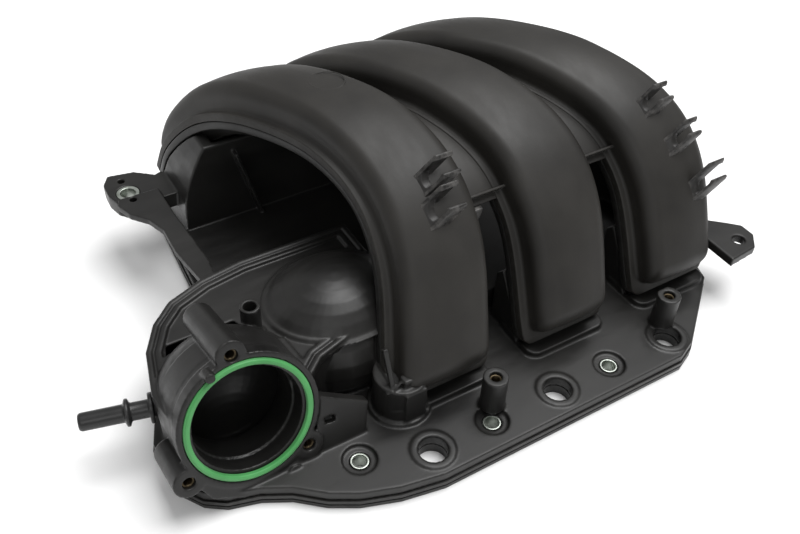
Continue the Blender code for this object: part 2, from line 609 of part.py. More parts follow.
def plenum_shell(mat):
    axis = throttle_axis()
    under = -RIM_THICK
    shell = prism("plenum_shell", grown(FOOTPRINT, -0.8), SEAM_Z + GAP / 2, FLANGE_TOP)
    adds = [prism("wall", grown(CHAMBER, -1.2), SEAM_Z + 1, CHAMBER_TOP - 2),
            prism("rim", CHAMBER, CHAMBER_TOP - CHAMBER_RIM, CHAMBER_TOP),
            prism("floor", TUNNEL_FLOOR, SEAM_Z + 1, TUNNEL_FLOOR_TOP),
            ellipsoid("dome", (-8, 92, 15), (50, 42, 40), 28, 14),
            ellipsoid("hood", HOOD, HOOD_RADII, 28, 14),
            rod("barrel", THROTTLE + axis * 1, axis, 30, THROTTLE_RING_R - 1, 40),
            rod("ring", THROTTLE, axis, 8, THROTTLE_RING_R, 40),
            back_duct(0, CYLINDERS - 1, 0, TOTAL - 50, TOTAL + RIM, under, BACK_FRONT_Y, SEAM_Z + 1)]
    apron = [(-33, -24), (31, -18), (31, -42), (-12, -42), (-27, -35)]
    adds.append(loft("apron", [[throttle_point(u, v, d) for u, v in apron] for d in (0.4, 7)]))
    for (u, v), length in zip(THROTTLE_BOLTS, (48, 32, 14)):
        adds.append(rod("boss", throttle_point(u, v), axis, length, BOLT_BOSS_R, 24))
    adds.append(prism("side_wall", SIDE_WALL, TUNNEL_FLOOR_TOP - 1.4, SIDE_WALL_TOP))
    adds.append(rod("stub", (-60, 86, 30), (0, 0, 1), 30, 5.4, 20))
    for i in range(CYLINDERS):
        adds.append(foot(i, 0, SEAM_Z + 1, under))
        adds.append(foot_apron(i))
        adds.append(rod("pocket_boss", (i * PITCH, 0, SEAM_Z + 2), (0, 0, 1), 5.0, POCKET_BOSS_R))
    for x, y in POST_SPOTS:
        adds.append(rod("post", (x, y, SEAM_Z + 2.5), (0, 0, 1), POST_TOP - SEAM_Z - 2.5, POST_R, 24))
    boss_z = SEAM_Z + 1.4
    boss_foot = (BIG_BOSS.x, BIG_BOSS.y, boss_z)
    adds.append(rod("big_boss", boss_foot, (0, 0, 1), BIG_BOSS.z - boss_z, BIG_BOSS_R, 40))
    adds.extend(ears())
    panel = [(34.8, -2.3), (63.1, -18.9), (56.2, -47), (30.4, -38.2)]
    adds.append(loft("panel", [[throttle_point(u, v, d) for u, v in panel] for d in (1.2, 8)]))
    shell = combine(shell, adds)

    cuts = [*(runner_room(i) for i in range(CYLINDERS)),
            prism("chamber", grown(CHAMBER, -1.2 - SKIN), SEAM_Z - 1, CHAMBER_TOP - SKIN),
            prism("hall", grown(TUNNEL_FLOOR, -SKIN), SEAM_Z - 1, TUNNEL_FLOOR_TOP - SKIN),
            ellipsoid("dome", (-8, 92, 15), (50 - SKIN, 42 - SKIN, 40 - SKIN), 28, 14),
            ellipsoid("hood", HOOD, [radius - SKIN for radius in HOOD_RADII], 28, 14),
            rod("bore", THROTTLE - axis * 2, axis, 62, THROTTLE_BORE_R, 40),
            rod("seal_seat", THROTTLE - axis * 2, axis, 4.5, SEAL_OUT_R + GAP, 40),
            box("pass", (-44, 198, SEAM_Z - 1), (120, 216, TUNNEL_FLOOR_TOP - SKIN)),
            box("below", (-200, -60, SEAM_Z - 40), (300, 320, SEAM_Z + GAP / 2))]
    for i in range(CYLINDERS):
        x = i * PITCH
        cuts.append(back_duct(i, i, RIM + 6, TOTAL - 44, TOTAL - 5, 4.0, BACK_FRONT_Y + SKIN,
                              SEAM_Z - 1, BACK_Y - SKIN))
        cuts.append(foot(i, RIM + 6, -2.0, 4.0))
        port = rounded((PORT_LOW[0] + x, PORT_LOW[1]), (PORT_HIGH[0] + x, PORT_HIGH[1]), 8.0)
        cuts.append(prism("port", port, SEAM_Z - 1, FLANGE_TOP + 2))
        cuts.append(rod("pocket", (x, 0, SEAM_Z - 1), (0, 0, 1), 8.6, POCKET_R, 28))
    for x, y in LIMITER_SPOTS:
        cuts.append(rod("bolt", (x, y, SEAM_Z - 1), (0, 0, 1), -SEAM_Z + 0.6, LIMITER_R + GAP, 24))
        sink = (x, y, -COUNTERBORE_DEPTH)
        cuts.append(rod("counterbore", sink, (0, 0, 1), COUNTERBORE_DEPTH + 0.4, COUNTERBORE_R, 24))
    for group in insert_spots():
        for mouth, inward in group:
            depth = INSERT_RECESS + INSERT_LENGTH + GAP
            cuts.append(rod("thread", mouth - inward * 2, inward, depth + 2, INSERT_R + GAP, 20))
    cuts.append(rod("nipple_hole", NIPPLE_ROOT + NIPPLE_OUT * 3, NIPPLE_OUT * -1, 14, NIPPLE_R + GAP, 24))
    above = Vector((0, 0, 5))
    cuts.append(rod("sleeve_hole", SLEEVE + above, (0, 0, -1), SLEEVE_LENGTH + 10, SLEEVE_R + GAP))
    cuts.append(rod("tab_hole", TAB_HOLE + Vector((0, 0, 5)), (0, 0, -1), 20, 4.0, 20))
    for y in (222.0, 246.0):
        cuts.append(rod("ear_hole", (-77, y, 50), (0, 0, -1), 40, 2.2, 16))
    return finish(combine(shell, cuts, "DIFFERENCE"), mat)


# ---- seals, sleeves, inserts and the hose nipple ------------------------------------------------------
def throttle_seal(mat):
    """The round seal in the throttle flange, a flat ring with a raised bead."""
    steps = ((2.2, SEAL_OUT_R), (0.2, SEAL_OUT_R), (-0.6, SEAL_OUT_R - 0.8),
             (-0.6, SEAL_IN_R + 0.8), (0.2, SEAL_IN_R), (2.2, SEAL_IN_R))
    return finish(tube("throttle_seal", THROTTLE, throttle_axis(), steps, SEAL_IN_R, 40), mat)


def port_seal(index, mat):
    """The seal in the base's groove round one head port and its injector pocket."""
    margin = (GROOVE_OUT - GAP, GROOVE_IN + GAP)
    outer, inner = (port_outline(index, m) for m in margin)
    top = BOTTOM_Z + GROOVE_DEPTH - GAP
    low = BOTTOM_Z + 0.1
    rings = [[(x, y, z) for x, y in line] for line, z in
             ((outer, top), (outer, low), (inner, low), (inner, top))]
    bm = bmesh.new()
    rows = [[bm.verts.new(place(p)) for p in ring] for ring in rings]
    count = len(outer)
    for low_row, high_row in zip(rows, rows[1:] + rows[:1]):
        for i in range(count):
            j = (i + 1) % count
            bm.faces.new((low_row[i], low_row[j], high_row[j], high_row[i]))
    return finish(make(f"port_seal_{index + 1}", bm), mat)


def limiter(index, mat):
    x, y = LIMITER_SPOTS[index]
    length = -COUNTERBORE_DEPTH - BOTTOM_Z + 0.2
    steps = ((0.0, LIMITER_R), (length - 0.4, LIMITER_R), (length, LIMITER_R - 0.4))
    name = f"flange_limiter_{index + 1}"
    return finish(tube(name, (x, y, BOTTOM_Z), (0, 0, 1), steps, LIMITER_BORE_R, 24), mat)


def insert(name, mouth, inward, mat):
    steps = ((0.0, INSERT_R), (INSERT_LENGTH, INSERT_R))
    return finish(tube(name, mouth + inward * INSERT_RECESS, inward, steps, INSERT_BORE_R, 16), mat)


def nipple(mat):
    """Quick-connect nipple with a seating collar outside and a spigot through the wall."""
    collar = 1.2
    bead = NIPPLE_LENGTH - 25.5
    steps = ((-6.0, NIPPLE_R), (collar, NIPPLE_R), (collar, 8.0), (collar + 2.2, 8.0),
             (collar + 2.2, NIPPLE_R), (bead, NIPPLE_R), (bead + 1, 7.2), (bead + 2.5, 7.2),
             (bead + 3.5, NIPPLE_R), (NIPPLE_LENGTH - 1.2, NIPPLE_R), (NIPPLE_LENGTH, NIPPLE_R - 0.8))
    return finish(tube("hose_nipple", NIPPLE_ROOT, NIPPLE_OUT, steps, NIPPLE_BORE_R, 24), mat)


def main():
    clear_scene()
    warm_nylon = material("nylon_cover", (0.030, 0.028, 0.026), 0.5)
    nylon = material("nylon_body", (0.018, 0.018, 0.018), 0.42)
    rubber = material("seal_green", (0.06, 0.36, 0.10), 0.5)
    steel = material("zinc_steel", (0.55, 0.56, 0.55), 0.35, 1.0)
    brass = material("brass", (0.55, 0.40, 0.16), 0.4, 1.0)
    cover = runner_cover_shell(warm_nylon)
    combine(cover, [harness_clip(*clip) for clip in CLIPS])
    finish(cover, warm_nylon)
    finish(runner_floor_shell(nylon), nylon)
    base_shell(nylon)
    plenum_shell(nylon)
    throttle_seal(rubber)
    for i in range(CYLINDERS):
        port_seal(i, rubber)
    for i in range(len(LIMITER_SPOTS)):
        limiter(i, steel)
    sleeve = ((0.0, SLEEVE_R), (SLEEVE_LENGTH, SLEEVE_R))
    finish(tube("bracket_sleeve", SLEEVE, (0, 0, -1), sleeve, SLEEVE_BORE_R, 32), steel)
    for name, group in zip(("throttle_insert", "rail_insert"), insert_spots()):
        for i, (mouth, inward) in enumerate(group):
            insert(f"{name}_{i + 1}", mouth, inward, brass)
    nipple(nylon)


main()
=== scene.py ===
"""Looks of the intake manifold: detailed nylon shells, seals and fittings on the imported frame.

Lengths are in millimetres in the part's own frame, whose origin is the first injector
pocket on the flange's top face, and are turned into metres where meshes are made.
"""

import math

import bmesh
import bpy
from mathutils import Matrix, Vector


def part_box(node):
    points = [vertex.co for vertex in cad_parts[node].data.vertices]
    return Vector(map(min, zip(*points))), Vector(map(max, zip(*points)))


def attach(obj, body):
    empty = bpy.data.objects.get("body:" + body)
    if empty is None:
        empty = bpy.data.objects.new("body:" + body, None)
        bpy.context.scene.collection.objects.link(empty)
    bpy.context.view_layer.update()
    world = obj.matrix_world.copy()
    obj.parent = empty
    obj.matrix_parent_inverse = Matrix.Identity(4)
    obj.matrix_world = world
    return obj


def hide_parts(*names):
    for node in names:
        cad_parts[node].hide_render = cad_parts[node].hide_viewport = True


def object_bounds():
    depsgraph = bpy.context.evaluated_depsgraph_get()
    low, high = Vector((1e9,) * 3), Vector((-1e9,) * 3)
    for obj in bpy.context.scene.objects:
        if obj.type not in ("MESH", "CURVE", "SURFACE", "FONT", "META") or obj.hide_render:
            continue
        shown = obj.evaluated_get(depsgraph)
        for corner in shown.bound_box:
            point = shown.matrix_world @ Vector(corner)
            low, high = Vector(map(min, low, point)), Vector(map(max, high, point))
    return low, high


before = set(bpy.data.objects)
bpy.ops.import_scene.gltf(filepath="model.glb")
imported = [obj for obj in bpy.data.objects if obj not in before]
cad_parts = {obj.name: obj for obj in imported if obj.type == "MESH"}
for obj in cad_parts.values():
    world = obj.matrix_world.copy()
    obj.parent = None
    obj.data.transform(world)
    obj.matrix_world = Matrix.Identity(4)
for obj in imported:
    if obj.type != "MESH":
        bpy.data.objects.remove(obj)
cad_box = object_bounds()

MM = 0.001
GAP = 0.3                       # clearance between neighbouring pieces
CYLINDERS = 3
BOTTOM_Z = -12.0                # underside of the base shell
SEAM_Z = -6.0                   # top of the base shell
LIMITER_SPOTS = ((38.0, 0.6), (120.0, 0.6), (64.0, 62.0), (146.0, 62.0), (-36.0, 14.0))
LIMITER_R, LIMITER_BORE_R = 5.0, 3.9
COUNTERBORE_DEPTH = 2.0
POST_SPOTS = ((43.6, 9.1), (168.0, 10.0))
POST_TOP = 24.0

# The frame's origin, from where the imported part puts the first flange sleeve.
sleeve_low, sleeve_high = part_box("flange_limiter_1")
ORIGIN = Vector((LIMITER_SPOTS[0][0] - (sleeve_low[0] + sleeve_high[0]) / 2 / MM,
                 LIMITER_SPOTS[0][1] - (sleeve_low[1] + sleeve_high[1]) / 2 / MM,
                 BOTTOM_Z - sleeve_low[2] / MM))

# ---- the weld surface, as the part has it -------------------------------------------------
RIM = 5.0                       # width of a weld rim beside a runner
CROWN = 23.0                    # height of a runner over the weld surface
SHOULDER = 9.5                  # radius where a crown turns into its sides
WALL = 3.2
RIM_THICK = 5.0
FLOOR_DEPTH = 8.0               # depth of a runner's channel under the weld surface
# Y and Z along a runner, from its head port over the top to its inlet.
PROFILE = ((37.0, 9.0), (52.0, 37.0), (72.0, 65.0), (98.0, 87.0), (130.0, 98.0),
           (163.0, 99.0), (196.0, 93.0), (224.0, 78.0), (243.0, 55.0), (250.0, 34.0))
# Fraction of the length, left and right wall of the first runner, and spacing of the runners.
PLAN = ((0.00, -4.0, 51.0, 82.0), (0.28, 13.0, 66.0, 78.5), (0.48, 8.0, 60.0, 69.5),
        (0.72, -18.0, 34.0, 62.5), (1.00, -46.0, 2.0, 60.0))
FOOT_TRIM = 8.0                 # the second and third runner's feet are narrower on the left
FOOT_TRIM_END = 0.28
WEB_FROM = 0.28                 # from this fraction of the length, the rims meet in the valleys
CLOSE = 14.0                    # length over which a crown rises from its end

THROTTLE = Vector((-83.3, 37.3, 35.5))
THROTTLE_TILT = math.radians(17.9)
SEAL_OUT_R, SEAL_IN_R = 33.5, 30.2
THROTTLE_BOLTS = ((-1.5, 38.0), (-36.2, -19.7), (26.4, -28.5))
NIPPLE_ROOT = Vector((-117.6, 79.0, 22.0))
NIPPLE_OUT = Vector((-0.970, 0.243, 0.0))
SLEEVE = Vector((-77.0, 233.0, 37.0))
SLEEVE_LENGTH = 10.0
CHAMBER = ((-120.0, 72.0), (-118.0, 54.0), (-110.0, 45.0), (-48.0, 44.0), (-36.0, 54.0), (24.0, 72.0),
           (24.0, 141.0), (-44.0, 141.0), (-69.0, 137.0), (-90.0, 129.0), (-103.0, 117.0), (-113.0, 100.0))
CHAMBER_TOP = 40.0
DOME = (-8.0, 92.0, 15.0)       # cap of the chamber under the first arch
HOOD = (-83.3, 68.0, 27.0)      # roof that closes the chamber behind the throttle barrel
BOSS = (1, 36)                  # round boss beside the first runner's foot
STUB = (-60, 86)                # hollow stub on the chamber's roof
FOOTPRINT = ((-125.0, 75.0), (-123.0, 48.0), (-114.0, 34.0), (-104.0, 27.0), (-88.0, 22.5), (-74.0, 15.0),
             (-60.0, 3.0), (-46.0, -5.0), (-26.0, -12.0), (-2.0, -16.5), (162.0, -16.5), (175.0, -11.0),
             (222.0, 26.0), (227.0, 42.0), (220.0, 80.0), (188.0, 150.0), (152.0, 225.0), (134.0, 255.0),
             (-57.0, 255.0), (-64.0, 150.0), (-78.0, 136.0), (-100.0, 121.0), (-114.0, 102.0))


def place(point):
    """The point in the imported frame, in metres."""
    return (Vector(point) - ORIGIN) * MM


def smooth_between(a, b, c, d, t):
    """Catmull-Rom value between b and c."""
    return 0.5 * (2 * b + (c - a) * t + (2 * a - 5 * b + 4 * c - d) * t * t
                  + (3 * b - a - 3 * c + d) * t * t * t)


def dense_profile(steps=24):
    """The profile as a fine polyline, extended by one point at each end."""
    pts = [(2 * PROFILE[0][0] - PROFILE[1][0], 2 * PROFILE[0][1] - PROFILE[1][1]), *PROFILE,
           (2 * PROFILE[-1][0] - PROFILE[-2][0], 2 * PROFILE[-1][1] - PROFILE[-2][1])]
    out = []
    for k in range(1, len(pts) - 2):
        for i in range(steps):
            t = i / steps
            out.append(tuple(smooth_between(pts[k - 1][n], pts[k][n], pts[k + 1][n], pts[k + 2][n], t)
                             for n in (0, 1)))
    out.append(PROFILE[-1])
    return out


DENSE = dense_profile()
LENGTHS = [0.0]
for here, there in zip(DENSE, DENSE[1:]):
    LENGTHS.append(LENGTHS[-1] + math.dist(here, there))
TOTAL = LENGTHS[-1]


def on_profile(length):
    """Point and outward normal of the profile at a length along it."""
    if length <= 0:
        k, t = 0, length / (LENGTHS[1] - LENGTHS[0])
    elif length >= TOTAL:
        k = len(DENSE) - 2
        t = 1 + (length - TOTAL) / (LENGTHS[-1] - LENGTHS[-2])
    else:
        k = max(i for i, value in enumerate(LENGTHS[:-1]) if value <= length)
        t = (length - LENGTHS[k]) / (LENGTHS[k + 1] - LENGTHS[k])
    a, b = Vector(DENSE[k]), Vector(DENSE[k + 1])
    before, after = Vector(DENSE[max(k - 3, 0)]), Vector(DENSE[min(k + 4, len(DENSE) - 1)])
    tangent = (after - before).normalized()
    return a.lerp(b, t), Vector((-tangent.y, tangent.x))


def plan_at(length):
    """Left wall, right wall and spacing of the runners at a length along the profile."""
    f = min(max(length / TOTAL, 0.0), 1.0)
    k = max(i for i in range(len(PLAN) - 1) if PLAN[i][0] <= f)
    before, a, b, after = PLAN[max(k - 1, 0)], PLAN[k], PLAN[k + 1], PLAN[min(k + 2, len(PLAN) - 1)]
    t = (f - a[0]) / (b[0] - a[0])
    return [smooth_between(before[n], a[n], b[n], after[n], t) for n in (1, 2, 3)]


def walls_of(index, length):
    """Left and right wall of one runner."""
    left, right, spacing = plan_at(length)
    trim = FOOT_TRIM * max(0.0, 1 - length / TOTAL / FOOT_TRIM_END) if index else 0.0
    return left + index * spacing + min(trim, FOOT_TRIM), right + index * spacing


def on_surface(x, length, height):
    """The point at x, length and height over the weld surface."""
    base, normal = on_profile(length)
    return (x, base.x + normal.x * height, base.y + normal.y * height)


# ---- materials ---------------------------------------------------------------------------------
class Nodes:
    """Short-hand for building one material's node tree."""

    def __init__(self, name):
        self.mat = bpy.data.materials.new(name)
        self.mat.use_nodes = True
        self.tree = self.mat.node_tree
        self.shader = self.tree.nodes["Principled BSDF"]

    def add(self, kind, **settings):
        node = self.tree.nodes.new(kind)
        for key, value in settings.items():
            setattr(node, key, value)
        return node

    def link(self, source, target):
        self.tree.links.new(source, target)

    def place_on(self, scale=(1, 1, 1)):
        coords = self.add("ShaderNodeTexCoord")
        mapping = self.add("ShaderNodeMapping")
        mapping.inputs["Scale"].default_value = scale
        self.link(coords.outputs["Object"], mapping.inputs["Vector"])
        return mapping.outputs["Vector"]

    def noise(self, vector, scale, detail=4.0, rough=0.55):
        node = self.add("ShaderNodeTexNoise")
        node.inputs["Scale"].default_value = scale
        node.inputs["Detail"].default_value = detail
        node.inputs["Roughness"].default_value = rough
        self.link(vector, node.inputs["Vector"])
        return node.outputs["Fac"]

    def ramp(self, value, low, high, first=(0, 0, 0), last=(1, 1, 1)):
        node = self.add("ShaderNodeValToRGB")
        node.color_ramp.elements[0].position = low
        node.color_ramp.elements[1].position = high
        node.color_ramp.elements[0].color = (*first, 1)
        node.color_ramp.elements[1].color = (*last, 1)
        self.link(value, node.inputs["Fac"])
        return node.outputs["Color"]

    def mix(self, factor, first, second):
        node = self.add("ShaderNodeMix", data_type="RGBA")
        for socket, value in ((node.inputs["Factor"], factor), (node.inputs["A"], first),
                              (node.inputs["B"], second)):
            if hasattr(value, "is_output"):
                self.link(value, socket)
            elif isinstance(value, (int, float)):
                socket.default_value = value
            else:
                socket.default_value = (*value, 1)
        return node.outputs["Result"]

    def scaled(self, value, low, high):
        node = self.add("ShaderNodeMapRange")
        node.inputs["To Min"].default_value = low
        node.inputs["To Max"].default_value = high
        self.link(value, node.inputs["Value"])
        return node.outputs["Result"]

    def bump(self, height, strength, distance, normal=None):
        node = self.add("ShaderNodeBump")
        node.inputs["Strength"].default_value = strength
        node.inputs["Distance"].default_value = distance
        self.link(height, node.inputs["Height"])
        if normal:
            self.link(normal, node.inputs["Normal"])
        return node.outputs["Normal"]


def nylon(name, dark, light, rough_low, rough_high, grain=0.25, streak=(1, 1, 1),
          worn=(0.10, 0.10, 0.10)):
    """Glass-filled nylon: uneven dark grey, a fine moulded grain, flow marks and paler worn edges."""
    n = Nodes(name)
    plain = n.place_on()
    flow = n.place_on(streak)
    blotch = n.noise(plain, 22.0, 5.0)
    marks = n.noise(flow, 60.0, 6.0, 0.65)
    grit = n.noise(plain, 2600.0, 2.0)
    tone = n.mix(n.ramp(blotch, 0.35, 0.68), dark, light)
    tone = n.mix(n.scaled(n.ramp(marks, 0.45, 0.75), 0.0, 0.35), tone, light)
    geometry = n.add("ShaderNodeNewGeometry")
    edges = n.ramp(geometry.outputs["Pointiness"], 0.515, 0.60)
    speckle = n.ramp(n.noise(plain, 240.0, 5.0, 0.7), 0.40, 0.62)
    wear = n.mix(speckle, (0, 0, 0), edges)
    tone = n.mix(n.scaled(wear, 0.0, 0.55), tone, worn)
    n.link(tone, n.shader.inputs["Base Color"])
    rough = n.mix(n.ramp(marks, 0.30, 0.75), (rough_low,) * 3, (rough_high,) * 3)
    n.link(rough, n.shader.inputs["Roughness"])
    bevel = n.add("ShaderNodeBevel", samples=4)
    bevel.inputs["Radius"].default_value = 0.0005
    coarse = n.bump(n.noise(plain, 420.0, 3.0), grain, 0.00010, bevel.outputs["Normal"])
    fine = n.bump(grit, grain, 0.00005, coarse)
    n.link(fine, n.shader.inputs["Normal"])
    n.shader.inputs["IOR"].default_value = 1.52
    n.shader.inputs["Specular IOR Level"].default_value = 0.34
    return n.mat


def rubber(name, colour, deep):
    """Dull moulded rubber with a patchy colour and a little sheen."""
    n = Nodes(name)
    plain = n.place_on()
    patch = n.noise(plain, 45.0, 4.0)
    n.link(n.mix(n.ramp(patch, 0.30, 0.75), deep, colour), n.shader.inputs["Base Color"])
    n.link(n.scaled(n.noise(plain, 300.0, 3.0), 0.42, 0.62), n.shader.inputs["Roughness"])
    n.link(n.bump(n.noise(plain, 900.0, 3.0), 0.2, 0.00005), n.shader.inputs["Normal"])
    n.shader.inputs["Sheen Weight"].default_value = 0.15
    return n.mat


def metal(name, colour, stain, rough_low, rough_high, rings=0.0):
    """Bare metal with stains, and turning marks across Z where rings is set."""
    n = Nodes(name)
    plain = n.place_on()
    patch = n.noise(plain, 160.0, 5.0)
    n.link(n.mix(n.ramp(patch, 0.40, 0.70), colour, stain), n.shader.inputs["Base Color"])
    n.link(n.scaled(n.noise(plain, 420.0, 4.0), rough_low, rough_high), n.shader.inputs["Roughness"])
    n.shader.inputs["Metallic"].default_value = 1.0
    height = n.noise(plain, 1500.0, 3.0)
    if rings:
        wave = n.add("ShaderNodeTexWave", wave_type="BANDS", bands_direction="Z")
        wave.inputs["Scale"].default_value = rings
        n.link(plain, wave.inputs["Vector"])
        height = wave.outputs["Fac"]
    n.link(n.bump(height, 0.25, 0.00006), n.shader.inputs["Normal"])
    return n.mat


COVER = nylon("cover_nylon", (0.0110, 0.0100, 0.0086), (0.0215, 0.0198, 0.0172), 0.44, 0.60, 0.35,
              (1.0, 0.35, 0.35), (0.045, 0.043, 0.040))
BODY = nylon("body_nylon", (0.0085, 0.0083, 0.0080), (0.0165, 0.0160, 0.0150), 0.30, 0.50, 0.25,
             (0.4, 1.6, 1.6), (0.045, 0.044, 0.042))
# The clips and the bracket use the cover's nylon painted a little darker, as painted shade for the occlusion
# on them.
SHADED_CLIP_MAT = nylon("clip_nylon_painted_shade", (0.010, 0.0095, 0.009), (0.020, 0.019, 0.018), 0.34, 0.5, 0.3,
                 (1, 1, 1), (0.22, 0.21, 0.20))
FITTING = nylon("fitting_nylon", (0.012, 0.012, 0.012), (0.024, 0.024, 0.024), 0.24, 0.38, 0.12)
SEAL = rubber("seal_rubber", (0.075, 0.36, 0.10), (0.045, 0.26, 0.065))
ZINC = metal("zinc_steel", (0.46, 0.49, 0.45), (0.28, 0.31, 0.27), 0.28, 0.46)
# Dull brass, darkened well below brass's own colour: painted shade for the dark recessed screw holes.
SHADE_DARKENED_BRASS = metal("insert_brass", (0.08, 0.062, 0.038), (0.045, 0.036, 0.022), 0.32, 0.5, 320.0)


# ---- mesh tools ------------------------------------------------------------------------------------
def make(name, bm, mat=None, angle=38.0):
    """A shaded object from a bmesh, with edges over the angle kept sharp."""
    bmesh.ops.remove_doubles(bm, verts=bm.verts, dist=1e-6)
    bmesh.ops.recalc_face_normals(bm, faces=bm.faces)
    mesh = bpy.data.meshes.new(name)
    bm.to_mesh(mesh)
    bm.free()
    obj = bpy.data.objects.new(name, mesh)
    bpy.context.scene.collection.objects.link(obj)
    if mat:
        mesh.materials.append(mat)
    mesh.shade_smooth()
    mesh.set_sharp_from_angle(angle=math.radians(angle))
    return obj


def loft(name, rings, mat=None):
    """A closed body through rings with the same number of points."""
    bm = bmesh.new()
    rows = [[bm.verts.new(place(p)) for p in ring] for ring in rings]
    count = len(rings[0])
    for low, high in zip(rows, rows[1:]):
        for i in range(count):
            j = (i + 1) % count
            bm.faces.new((low[i], low[j], high[j], high[i]))
    bm.faces.new(rows[0])
    bm.faces.new(rows[-1])
    return make(name, bm, mat)


def prism(name, outline, z0, z1, mat=None):
    return loft(name, [[(x, y, z) for x, y in outline] for z in (z0, z1)], mat)


def frame_of(axis):
    """Two directions square to the axis."""
    axis = Vector(axis).normalized()
    side = Vector((1, 0, 0)) if abs(axis.x) < 0.9 else Vector((0, 1, 0))
    side = (side - axis * side.dot(axis)).normalized()
    return side, axis.cross(side)


def ring_points(centre, axis, radius, sides):
    side, up = frame_of(axis)
    return [centre + (side * math.cos(math.tau * k / sides) + up * math.sin(math.tau * k / sides)) * radius
            for k in range(sides)]


def rod(name, start, axis, length, radius, sides=48):
    axis = Vector(axis).normalized()
    return loft(name, [ring_points(Vector(start) + axis * d, axis, radius, sides) for d in (0, length)])


def lathe(name, start, axis, profile, mat, sides=72, angle=38.0):
    """A ring turned from a closed profile of (distance along the axis, radius)."""
    axis = Vector(axis).normalized()
    bm = bmesh.new()
    rings = [[bm.verts.new(place(p)) for p in ring_points(Vector(start) + axis * d, axis, r, sides)]
             for d, r in profile]
    for low, high in zip(rings, rings[1:] + rings[:1]):
        for i in range(sides):
            j = (i + 1) % sides
            bm.faces.new((low[i], low[j], high[j], high[i]))
    return make(name, bm, mat, angle)


MOST_OF_EDGE = 0.45             # how far a rounded corner may eat into each of its edges


def softened(outline, radius, arc=5):
    """A profile with each corner rounded by a quadratic curve."""
    points = []
    for i, corner in enumerate(outline):
        here = Vector(corner)
        before, after = Vector(outline[i - 1]), Vector(outline[(i + 1) % len(outline)])
        a = here + (before - here).normalized() * min(radius, (before - here).length * MOST_OF_EDGE)
        b = here + (after - here).normalized() * min(radius, (after - here).length * MOST_OF_EDGE)
        points += [tuple(a.lerp(here, k / arc).lerp(here.lerp(b, k / arc), k / arc)) for k in range(arc + 1)]
    return points


def grown(outline, amount):
    """The outline moved outwards by an amount, or inwards where it is negative."""
    count = len(outline)
    loop = [*outline, outline[0]]
    area = sum(a[0] * b[1] - b[0] * a[1] for a, b in zip(loop, loop[1:]))
    sign = 1 if area > 0 else -1
    moved = []
    for i in range(count):
        here, before, after = Vector(outline[i]), Vector(outline[i - 1]), Vector(outline[(i + 1) % count])
        one, two = (here - before).normalized(), (after - here).normalized()
        bisector = Vector((one.y + two.y, -one.x - two.x)).normalized() * sign
        stretch = 1 / max(bisector.dot(Vector((one.y, -one.x)) * sign), 0.4)
        moved.append(tuple(here + bisector * amount * stretch))
    return moved


def ellipsoid(name, centre, radii, around=40, across=20):
    bm = bmesh.new()
    bmesh.ops.create_uvsphere(bm, u_segments=around, v_segments=across, radius=1.0)
    for v in bm.verts:
        v.co = place([c + r * k for c, r, k in zip(centre, radii, v.co)])
    return make(name, bm)


def flattened(obj, z):
    """Every point below height z raised to it."""
    level = place((0, 0, z)).z
    for v in obj.data.vertices:
        v.co.z = max(v.co.z, level)
    return obj


def boolean(target, pieces, operation):
    """Cut the pieces from the target or add them to it, and remove them."""
    for piece in pieces:
        mod = target.modifiers.new("combine", "BOOLEAN")
        mod.operation = operation
        mod.solver = "EXACT"
        mod.object = piece
        settle(target)
        bpy.data.objects.remove(piece, do_unlink=True)
    return target


def settle(obj):
    """Apply the object's modifiers to its mesh."""
    graph = bpy.context.evaluated_depsgraph_get()
    mesh = bpy.data.meshes.new_from_object(obj.evaluated_get(graph))
    obj.modifiers.clear()
    obj.data = mesh
    return obj


def copy_of(node, name):
    """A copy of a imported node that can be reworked."""
    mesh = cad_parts[node].data.copy()
    obj = bpy.data.objects.new(name, mesh)
    bpy.context.scene.collection.objects.link(obj)
    obj.matrix_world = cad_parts[node].matrix_world
    return obj


def joined(target, pieces):
    """The pieces put into the target's mesh as they are."""
    bm = bmesh.new()
    bm.from_mesh(target.data)
    for piece in pieces:
        bm.from_mesh(piece.data)
        bpy.data.objects.remove(piece, do_unlink=True)
    bm.to_mesh(target.data)
    bm.free()
    return target


def moulded(obj, voxel, rounds, mat):
    """Fuse to one skin and round every edge, as a moulding has."""
    mod = obj.modifiers.new("fuse", "REMESH")
    mod.mode = "VOXEL"
    mod.voxel_size = voxel * MM
    mod.use_smooth_shade = True
    smooth = obj.modifiers.new("round", "SMOOTH")
    smooth.factor = 0.5
    smooth.iterations = rounds
    settle(obj)
    obj.data.materials.clear()
    obj.data.materials.append(mat)
    obj.data.shade_smooth()
    return obj


def ready(piece, slot, *nodes):
    """Give a finished piece its body and hide the nodes that it stands for. The slot is not used."""
    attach(piece, "root")
    if nodes:
        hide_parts(*nodes)
    return piece


def bevelled(obj, width, segments=2, angle=40.0):
    """Round the edges that are sharper than the angle."""
    mod = obj.modifiers.new("edge", "BEVEL")
    mod.width = width * MM
    mod.segments = segments
    mod.limit_method = "ANGLE"
    mod.angle_limit = math.radians(angle)
    mod.harden_normals = False
    settle(obj)
    obj.data.shade_smooth()
    obj.data.set_sharp_from_angle(angle=math.radians(50))
    return obj


# ---- runner cover and floors ---------------------------------------------------------------------------
EDGE = 0.7                      # rounding of the weld rims' edges
RIM_CORNER = 5.0                # plan rounding of the rims' ends
FILLET = 2.2                    # where a crown meets its rim
INNER_FILLET = 0.6
CORNER = 9.0                    # plan rounding of a crown's ends
BULGE = 1.4                     # rise of a crown from its shoulders to its middle
PORT_END, INLET_END = 39.0, 46.0  # lengths of the floor's openings at the port and at the inlet
END_STEPS = (0.3, 0.8, 1.5, 2.4, 3.5, 4.8, 6.2, 7.8, 9.5, 11.3, 13.0)


